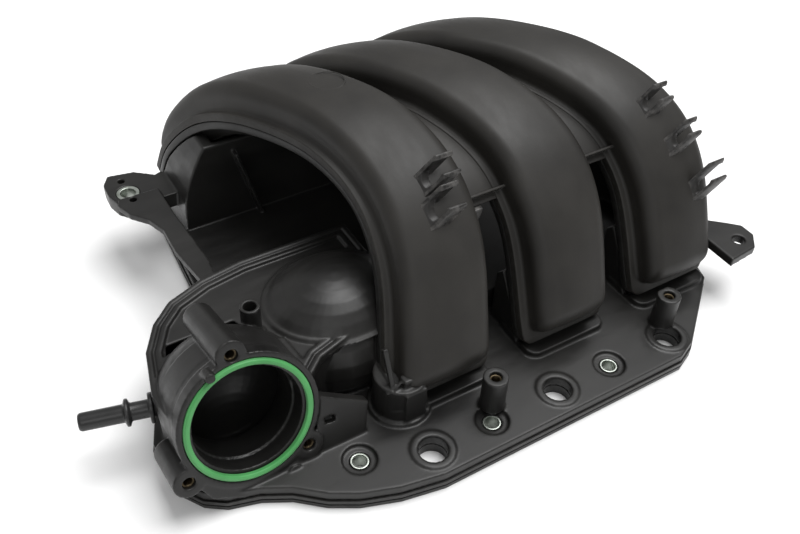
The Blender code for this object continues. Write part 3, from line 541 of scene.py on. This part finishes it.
def rows_along(step):
    """Lengths of the grid's rows, close together at both ends."""
    middle = int((TOTAL - 2 * CLOSE) / step)
    ends = [-RIM, -RIM + EDGE * 0.3, -RIM + EDGE, -FILLET, -FILLET * 0.5, 0.0, *END_STEPS]
    inner = [CLOSE + (TOTAL - 2 * CLOSE) * k / middle for k in range(middle + 1)]
    return [*ends, *inner, *(TOTAL - e for e in reversed(ends))]


def closing(distance):
    """How far a crown has risen, from 0 at its end to 1."""
    f = min(max(distance / CLOSE, 0.0), 1.0)
    return math.sqrt(1 - (1 - f) ** 2)


def narrowing(distance, radius):
    """How far a rounded corner holds the side back near an end."""
    f = min(max(distance / radius, 0.0), 1.0)
    return radius * (1 - math.sqrt(1 - (1 - f) ** 2))


def mirrored(side, across):
    """The other half of a section, whose walls add up to across."""
    return [(across - x, h) for x, h in reversed(side)]


def section(left, right, end, skin):
    """X and height of a runner's section, end mm from the crown's nearer end."""
    outer = skin == "outer"
    inset = 0.0 if outer else WALL
    base = RIM_THICK if outer else GAP / 2
    fillet = FILLET if outer else INNER_FILLET
    drop = EDGE if outer else 0.0
    low = left - RIM + narrowing(end + RIM, RIM_CORNER)
    squeeze = narrowing(end - inset, CORNER) if end > 0 else CORNER
    high = left + squeeze + inset
    grow = closing(end - inset)
    side = [(low, base - drop), (low + EDGE * 0.3, base - drop * 0.3), (low + EDGE, base),
            (high - fillet, base), (high - fillet * 0.35, base + fillet * 0.22), (high, base + fillet)]
    radius = SHOULDER - inset
    top = CROWN - inset - BULGE
    for angle in range(0, 91, 10):
        a = math.radians(angle)
        side.append((high + radius * (1 - math.cos(a)), top - radius * (1 - math.sin(a))))
    middle = (left + right) / 2
    first = side[-1][0]
    for t in (0.33, 0.66):
        side.append((first + (middle - first) * t, top + BULGE * (1 - (1 - t) ** 2)))
    risen = [(x, h if c < 4 else base + (h - base) * grow) for c, (x, h) in enumerate(side)]
    return [*risen, (middle, base + (top + BULGE - base) * grow), *mirrored(risen, left + right)]


def two_skin(name, outer, inner, quads, mat):
    """A wall between two grids of points, closed along its open edges."""
    bm = bmesh.new()
    out = {key: bm.verts.new(place(p)) for key, p in outer.items()}
    inn = {key: bm.verts.new(place(p)) for key, p in inner.items()}
    edges = {}
    for quad in quads:
        bm.faces.new([out[k] for k in quad])
        bm.faces.new([inn[k] for k in reversed(quad)])
        for a, b in zip(quad, quad[1:] + quad[:1]):
            edges[(a, b)] = edges.get((a, b), 0) + 1
    for a, b in edges:
        if (b, a) not in edges:
            bm.faces.new((out[b], out[a], inn[a], inn[b]))
    used = {k for quad in quads for k in quad}
    for key in outer:
        if key not in used:
            bm.verts.remove(out[key])
            bm.verts.remove(inn[key])
    return make(name, bm, mat, 50.0)


def cell(i, c, j):
    """One quad of runner i's grid, at column c and row j."""
    return [(i, c, j), (i, c + 1, j), (i, c + 1, j + 1), (i, c, j + 1)]


def valley(i, last, j):
    """The quad that joins runner i to the one before it."""
    return [(i - 1, last, j), (i, 0, j), (i, 0, j + 1), (i - 1, last, j + 1)]


def cover_mesh():
    rows = rows_along(3.0)
    outer, inner, quads = {}, {}, []
    for i in range(CYLINDERS):
        for j, s in enumerate(rows):
            left, right = walls_of(i, s)
            end = min(s, TOTAL - s)
            for skin, name in ((outer, "outer"), (inner, "inner")):
                for c, (x, h) in enumerate(section(left, right, end, name)):
                    skin[i, c, j] = on_surface(x, s, h)
    last = len(section(0, 50, 50, "outer")) - 1
    for i in range(CYLINDERS):
        for j in range(len(rows) - 1):
            quads += [cell(i, c, j) for c in range(last)]
            if i and rows[j] >= WEB_FROM * TOTAL:
                quads.append(valley(i, last, j))
    return two_skin("cover_skin", outer, inner, quads, COVER)


def floor_section(left, right, end, skin):
    """X and height of a runner floor's section: rims, and a sunk channel between them."""
    top = -GAP / 2
    low = left - RIM + narrowing(end + RIM, RIM_CORNER)
    if skin == "outer":
        side = [(low, top - EDGE), (low + EDGE * 0.3, top - EDGE * 0.3), (low + EDGE, top),
                (left + 0.5, top), (left + 2.0, top - 2.5), (left + 4.5, -FLOOR_DEPTH + 1.0),
                (left + 7.5, -FLOOR_DEPTH)]
    else:
        under = top - RIM_THICK
        bed = -FLOOR_DEPTH - WALL
        side = [(low, under + EDGE), (low + EDGE * 0.3, under + EDGE * 0.3), (low + EDGE, under),
                (left + 0.3, under), (left + 1.6, under - 2.5), (left + 4.0, bed + 1.0), (left + 7.5, bed)]
    return [*side, ((left + right) / 2, side[-1][1]), *mirrored(side, left + right)]


def floor_mesh():
    rows = rows_along(5.0)
    outer, inner, quads = {}, {}, []
    for i in range(CYLINDERS):
        for j, s in enumerate(rows):
            left, right = walls_of(i, s)
            end = min(s, TOTAL - s)
            flat = s < 1 or s > TOTAL - 1
            for skin, name in ((outer, "outer"), (inner, "inner")):
                columns = floor_section(left, right, end, name)
                for c, (x, h) in enumerate(columns):
                    level = flat and 2 < c < len(columns) - 3
                    skin[i, c, j] = on_surface(x, s, columns[3][1] if level else h)
    last = len(floor_section(0, 50, 50, "outer")) - 1
    for i in range(CYLINDERS):
        for j, (low, high) in enumerate(zip(rows, rows[1:])):
            port = low > -1 and high < PORT_END
            inlet = low > TOTAL - INLET_END and high < TOTAL + 1
            quads += [cell(i, c, j) for c in range(last) if not ((port or inlet) and 5 <= c < last - 5)]
            if i and low >= WEB_FROM * TOTAL:
                quads.append(valley(i, last, j))
    return two_skin("floor_skin", outer, inner, quads, BODY)


# Harness clips: corner on the crown, direction from prong to prong, spacing, width, prong length
CLIPS = (((31.5, 86.5, 104.5), (0.0, -0.80, -0.60), 11.0, 10.5, 22.0),
         ((29.0, 73.5, 96.5), (0.0, -0.73, -0.68), 13.0, 10.5, 20.0),
         ((183.0, 86.0, 104.3), (0.0, -0.80, -0.60), 10.0, 9.5, 20.0),
         ((190.0, 64.5, 88.4), (0.0, -0.70, -0.71), 9.0, 9.0, 22.0),
         ((197.0, 45.5, 65.5), (0.0, -0.52, -0.85), 11.0, 11.5, 24.0))
PLATE = 2.0                     # thickness of a prong
LEAN = Vector((0.71, -0.12, 0.69))


def slanted(name, root, first, second, outline, start, depth, mat):
    """An outline in two slanted directions, pushed along X."""
    rings = [[root + Vector((x, 0, 0)) + first * r + second * q for r, q in outline]
             for x in (start, start + depth)]
    return loft(name, rings, mat)


def clip(corner, run, spacing, width, tip):
    """Two flat prongs that lean to +X as they stand up, joined by a cradle at their backs."""
    run = Vector(run)
    root = Vector(corner) - Vector((0, run.z, -run.y)) * 2.0
    far = spacing + PLATE
    lip = [(0, 0), (0, tip - 1.0), (0.6, tip), (PLATE - 0.2, tip), (PLATE + 1.0, tip - 1.4),
           (PLATE, tip - 3.0), (PLATE, 0)]
    other = [(far - r, q) for r, q in reversed(lip)]
    hollow = (spacing - PLATE) / 2
    brim = tip * 0.62
    cradle = [(far / 2 - hollow * math.cos(math.radians(a)),
               tip * 0.55 - hollow * 0.8 * math.sin(math.radians(a))) for a in range(0, 181, 15)]
    wall = [(0.6, 0), (0.6, brim), (PLATE, brim), *cradle, (far - PLATE, brim), (far - 0.6, brim),
            (far - 0.6, 0)]
    pieces = [slanted("prong", root, run, LEAN, lip, 0, width, SHADED_CLIP_MAT),
              slanted("prong", root, run, LEAN, other, 0, width, SHADED_CLIP_MAT),
              slanted("cradle", root, run, LEAN, wall, 0.4, width * 0.45, SHADED_CLIP_MAT)]
    pieces = [bevelled(piece, 0.3, 2, 35) for piece in pieces]
    return joined(pieces[0], pieces[1:])


def bar_between(x0, x1, s):
    """A thin upright web across the valley between two runners."""
    outline = [(0, 2.0), (0, 9.2), (0.4, 9.8), (1.2, 9.8), (1.6, 9.2), (1.6, 2.0)]
    return loft("bar", [[on_surface(x, s - d, h) for d, h in outline] for x in (x0, x1)], COVER)


def rectangle(centre, half_x, half_y, lift):
    return [centre + Vector((u * half_x, v * half_y, lift)) for u, v in ((-1, -1), (1, -1), (1, 1), (-1, 1))]


def bracket(x, y, z):
    """A small loom bracket in the valley: three tabs on struts that meet at a foot."""
    foot = Vector((x, y - 9, z - 13))
    pieces = []
    for dx, dy, dz, wide in ((2.0, 3.0, 3.0, 5.5), (-5.5, -3.5, -4.0, 6.0), (5.5, -5.5, -2.5, 5.0)):
        head = Vector((x + dx, y + dy, z + dz))
        rings = [rectangle(foot, wide * 0.25, 1.0, 0.0), rectangle(head, wide * 0.5, 1.1, -1.2),
                 rectangle(head, wide * 0.52, 1.4, 0.6)]
        pieces.append(bevelled(loft("tab", rings, SHADED_CLIP_MAT), 0.35, 2, 35))
    return joined(pieces[0], pieces[1:])


MARK_SIDES, MARK_TUBE_SIDES = 64, 8
MARK_WIDE, MARK_HIGH = 0.45, 0.25   # half width and height of the mark's ring


def ejector_mark(index, s, across, radius):
    """A faint ring that an ejector pin leaves on a crown."""
    left, right = walls_of(index, s)
    centre = left + (right - left) * across
    crown = CROWN - BULGE * 0.25
    bm = bmesh.new()
    rows = []
    for k in range(MARK_SIDES):
        a = math.tau * k / MARK_SIDES
        ring = []
        for m in range(MARK_TUBE_SIDES):
            b = math.tau * m / MARK_TUBE_SIDES
            r = radius + MARK_WIDE * math.cos(b)
            point = on_surface(centre + r * math.cos(a), s + r * math.sin(a), crown + MARK_HIGH * math.sin(b))
            ring.append(bm.verts.new(place(point)))
        rows.append(ring)
    for one, two in zip(rows, rows[1:] + rows[:1]):
        for m in range(MARK_TUBE_SIDES):
            n = (m + 1) % MARK_TUBE_SIDES
            bm.faces.new((one[m], one[n], two[n], two[m]))
    return make("mark", bm, COVER)


cover = cover_mesh()
joined(cover, [bar_between(61.5, 97.0, 86.0), bar_between(141.5, 178.0, 86.0),
               ejector_mark(0, TOTAL * 0.60, 0.62, 10.0)])
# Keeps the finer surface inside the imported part's box.
for v in cover.data.vertices:
    v.co = Vector(map(min, v.co, cad_box[1]))
cover.name = "cover_skin"
ready(cover, "cover_nylon", "runner_cover_shell")
clips = [clip(*spec) for spec in CLIPS] + [bracket(61.0, 75.0, 88.0)]
clip_set = joined(clips[0], clips[1:])
clip_set.name = "cover_clips"
ready(clip_set, "cover_nylon", "runner_cover_shell")
ready(floor_mesh(), "body_nylon", "runner_floor_shell")


# ---- plenum and base shells ----------------------------------------------------------------------------
def throttle_axis():
    return Vector((0, math.cos(THROTTLE_TILT), -math.sin(THROTTLE_TILT)))


def throttle_point(across, up, depth=0.0):
    """A point of the throttle flange: across and up on its face, and depth behind it."""
    rise = Vector((0, math.sin(THROTTLE_TILT), math.cos(THROTTLE_TILT)))
    return THROTTLE + Vector((across, 0, 0)) + rise * up + throttle_axis() * depth


def frame_groove(outline, outside, inside, z0, z1):
    """A closed band between two offsets of an outline, for cutting a groove."""
    band = prism("groove", grown(outline, outside), z0, z1)
    return boolean(band, [prism("core", grown(outline, inside), z0 - 1.7, z1 + 2)], "DIFFERENCE")


def roof_panel():
    """The sunk panel inside the chamber's rim, less what stands on the roof."""
    panel = prism("recess", grown(CHAMBER, -8.2), CHAMBER_TOP - 1.9, CHAMBER_TOP + 3)
    return boolean(panel, [ellipsoid("round", DOME, (51.3, 43.3, 41.3)),
                           ellipsoid("round", HOOD, (38.0, 33.5, 35.0)),
                           rod("round", THROTTLE, axis, 36, 39.5),
                           rod("round", throttle_point(*THROTTLE_BOLTS[0]), axis, 52, 10.0),
                           rod("round", (*STUB, 30), (0, 0, 1), 20, 7.4)], "DIFFERENCE")


def flange_slot():
    """The short slot through the throttle flange, beside its right bolt boss."""
    corners = ((37.5, -17.5), (43.3, -18.3), (43.3, -22.3), (37.5, -21.5))
    return loft("slot", [[throttle_point(u, v, d) for u, v in corners] for d in (-2, 5)])


def throttle_hood():
    """A hollow roof behind the barrel, open towards the bore."""
    hood = ellipsoid("hood", HOOD, (36.5, 32.1, 33.3))
    boolean(hood, [ellipsoid("hollow", HOOD, (33.0, 28.6, 29.8)),
                   rod("bore", THROTTLE - axis * 2, axis, 38, 28.8, 96)], "DIFFERENCE")
    return flattened(hood, SEAM_Z + 1)


def round_boss():
    """The boss beside the first runner's foot, with its land, facet, knob, block and ribs."""
    land = [(BOSS[0] + 17.5 * math.cos(math.radians(a)), BOSS[1] + 17.5 * math.sin(math.radians(a)))
            for a in range(0, 360, 10)]
    facet = ((-4.5, 20.6), (8.5, 20.6), (8.5, 24), (-4.5, 24))
    block = ((-3, 25), (4, 25), (4, 31), (-3, 31))
    return [rod("boss", (*BOSS, -2), (0, 0, 1), 26, 14.6),
            prism("land", land, -2, 1.8),
            prism("facet", facet, -1, 23.0),
            ellipsoid("knob", (8.0, 27.5, 25.5), (4.4, 4.4, 4.4), 24, 12),
            prism("block", block, 20, 29),
            loft("web", [[(x, 26.5, 22), (x, 29.0, 22), (x, 40, 44), (x, 37, 46)] for x in (-9.5, -6.8)]),
            loft("gusset", [[(-13, y, 23), (-4, y, 28), (-6, y, 15)] for y in (27, 29)])]


def tunnel_walls():
    """The fin on the tunnel's side wall, and the slanted rib inside the first arch."""
    fin = ((218.5, 71.5), (186.5, 144.5), (182.5, 143.5), (214.0, 71.5))
    rib = [[(x, 200, z), (x + 2, 200, z), (x + 2, 208, z), (x, 208, z)] for x, z in ((-17.5, 66), (-1.5, 8))]
    return [prism("side_fin", fin, 30, 46), loft("rib", rib)]


PLENUM_VOXEL, PLENUM_ROUNDS = 0.62, 5   # fineness and edge rounding of the fused plenum

axis = throttle_axis()
plenum = copy_of("plenum_shell", "plenum_skin")
boolean(plenum, [frame_groove(CHAMBER, -3.0, -5.0, CHAMBER_TOP - 1.3, CHAMBER_TOP + 2), roof_panel(),
                 rod("stub_hole", (*STUB, 48), (0, 0, 1), 16, 3.4), flange_slot()], "DIFFERENCE")
barrel = ((12.5, 33.0), (12.5, 36.1), (31, 36.1), (31, 33.0))
step = ((0, 27.2), (0, 30), (18, 30), (18, 27.2))
adds = [flattened(ellipsoid("dome", DOME, (50.1, 42.1, 40.1)), CHAMBER_TOP - 3.2),
        throttle_hood(),
        lathe("barrel", THROTTLE, axis, barrel, None),
        lathe("step", throttle_point(0, 0, 13), axis, step, None),
        rod("stub", throttle_point(-14.3, 33, 4), -axis, 8, 2.6),
        rod("bump", throttle_point(16.1, -40.2, 6), -axis, 7.4, 4.5),
        *round_boss(), *tunnel_walls()]
joined(plenum, adds)
moulded(plenum, PLENUM_VOXEL, PLENUM_ROUNDS, BODY)
plenum.name = "plenum_skin"
ready(plenum, "body_nylon", "plenum_shell")

base = copy_of("base_shell", "base_skin")
boolean(base, [frame_groove(FOOTPRINT, 3.0, -0.9, -9.6, -8.6)], "DIFFERENCE")
base.data.materials.clear()
base.data.materials.append(BODY)
base.data.shade_smooth()
base.data.set_sharp_from_angle(angle=math.radians(30))
ready(base, "body_nylon", "base_shell")


# ---- fittings --------------------------------------------------------------------------------------------
lip = softened(((2.2, SEAL_IN_R), (-0.3, SEAL_IN_R), (-0.75, SEAL_IN_R + 1.0),
                (-0.75, SEAL_OUT_R - 1.1), (-0.1, SEAL_OUT_R - 0.6), (0.2, SEAL_OUT_R),
                (2.2, SEAL_OUT_R)), 0.5)
ready(lathe("throttle_seal_ring", THROTTLE, axis, lip, SEAL, 120, 60), "seal_rubber", "throttle_seal")



def sleeve(name, start, axis, bore, radius, length, edge, sides, node):
    """A plain steel sleeve with rounded edges."""
    profile = softened(((0, bore), (0, radius), (length, radius), (length, bore)), edge, 3)
    ready(lathe(name, start, axis, profile, ZINC, sides, 60), "zinc_steel", node)


limiter_length = -COUNTERBORE_DEPTH + 0.2 - BOTTOM_Z
for i, (x, y) in enumerate(LIMITER_SPOTS):
    sleeve(f"flange_sleeve_{i + 1}", (x, y, BOTTOM_Z), (0, 0, 1), LIMITER_BORE_R, LIMITER_R,
           limiter_length, 0.3, 56, f"flange_limiter_{i + 1}")
sleeve("ear_sleeve_ring", SLEEVE, (0, 0, -1), 4.6, 7.0, SLEEVE_LENGTH, 0.5, 64, "bracket_sleeve")


def threaded(name, mouth, inward, node):
    """A brass insert sunk 2 mm under its mouth, with thread turns in its bore; its dull brass is darkened
    further as painted shade for the recessed hole.
    """
    turns = [(0.6 + k * 0.35, 2.1 + (0.22 if k % 2 else 0.0)) for k in range(24)]
    profile = [(0.0, 2.5), (0.0, 3.0), (9.5, 3.0), (9.5, 2.1), *reversed(turns)]
    ready(lathe(name, mouth + inward * 2.0, inward, profile, SHADE_DARKENED_BRASS, 40, 60), "insert_brass", node)


for i, (u, v) in enumerate(THROTTLE_BOLTS):
    threaded(f"throttle_thread_{i + 1}", throttle_point(u, v), axis, f"throttle_insert_{i + 1}")
for i, (x, y) in enumerate(POST_SPOTS):
    threaded(f"rail_thread_{i + 1}", Vector((x, y, POST_TOP)), Vector((0, 0, -1)), f"rail_insert_{i + 1}")

# From the root: pipe in the wall, collar, pipe, barb ring, and pipe with a chamfered mouth.
TUBE_R, TUBE_BORE_R, COLLAR_R, BARB_R, TUBE_END = 4.75, 3.0, 8.0, 7.2, 38.0
nipple = softened(((-6.0, TUBE_BORE_R), (-6.0, TUBE_R), (1.2, TUBE_R), (1.2, COLLAR_R), (3.4, COLLAR_R),
                   (3.4, TUBE_R), (12.5, TUBE_R), (13.5, BARB_R), (15.0, BARB_R), (16.0, TUBE_R),
                   (TUBE_END - 1.2, TUBE_R), (TUBE_END, TUBE_R - 0.8), (TUBE_END, TUBE_BORE_R)), 0.6, 4)
ready(lathe("hose_nipple_body", NIPPLE_ROOT, NIPPLE_OUT, nipple, FITTING, 72, 50), "body_nylon",
      "hose_nipple")

for i in range(CYLINDERS):
    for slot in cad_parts[f"port_seal_{i + 1}"].material_slots:
        slot.material = SEAL


# ---- floor, lights and camera ----------------------------------------------------------------------------
REACH = 6.0                     # half the floor's width, in metres


def studio_floor():
    bm = bmesh.new()
    corners = ((-REACH, -REACH), (REACH, -REACH), (REACH, REACH), (-REACH, REACH))
    bm.faces.new([bm.verts.new((x, y, -0.0002)) for x, y in corners])
    n = Nodes("pale_floor")
    patch = n.noise(n.place_on(), 3.0, 3.0)
    n.link(n.mix(patch, (0.93, 0.93, 0.93), (0.95, 0.95, 0.95)), n.shader.inputs["Base Color"])
    n.shader.inputs["Roughness"].default_value = 0.9
    return make("studio_floor", bm, n.mat)


studio_floor()


def softbox(name, spot, aim, size, power):
    """A rectangular area lamp at spot, turned towards aim."""
    lamp = bpy.data.lights.new(name, "AREA")
    lamp.shape = "RECTANGLE"
    lamp.size, lamp.size_y = size
    lamp.energy = power
    obj = bpy.data.objects.new(name, lamp)
    bpy.context.scene.collection.objects.link(obj)
    obj.location = spot
    obj.rotation_euler = (Vector(aim) - Vector(spot)).to_track_quat("-Z", "Y").to_euler()


AIM = (0, 0, 0.05)
softbox("key", (0.70, 0.0, 2.3), AIM, (1.7, 1.7), 64.0)
softbox("fill", (-0.9, -1.6, 1.6), AIM, (0.9, 0.9), 5.0)
softbox("rim", (-1.6, 1.4, 1.3), AIM, (0.8, 1.4), 1.5)
world = bpy.data.worlds.new("studio")
bpy.context.scene.world = world
world.use_nodes = True
sky = world.node_tree.nodes["Background"]
sky.inputs["Color"].default_value = (1, 1, 1, 1)
sky.inputs["Strength"].default_value = 0.44
# Standard keeps the pale floor white and the black nylon black.
bpy.context.scene.view_settings.view_transform = "Standard"

# The camera stands at the viewing angle worked out from the part's straight edges and circles.
camera = bpy.data.cameras.new("camera")
camera.sensor_width = 36.0
camera.lens = 41.437
shot = bpy.data.objects.new("camera", camera)
bpy.context.scene.collection.objects.link(shot)
right = Vector((0.85631074, -0.51531505, 0.03438463))
up = Vector((0.33010355, 0.59731183, 0.73092422))
turn = Matrix((right, up, right.cross(up))).transposed()
shot.matrix_world = Matrix.Translation((-0.22205, -0.35477, 0.40756)) @ turn.to_4x4()
bpy.context.scene.camera = shot
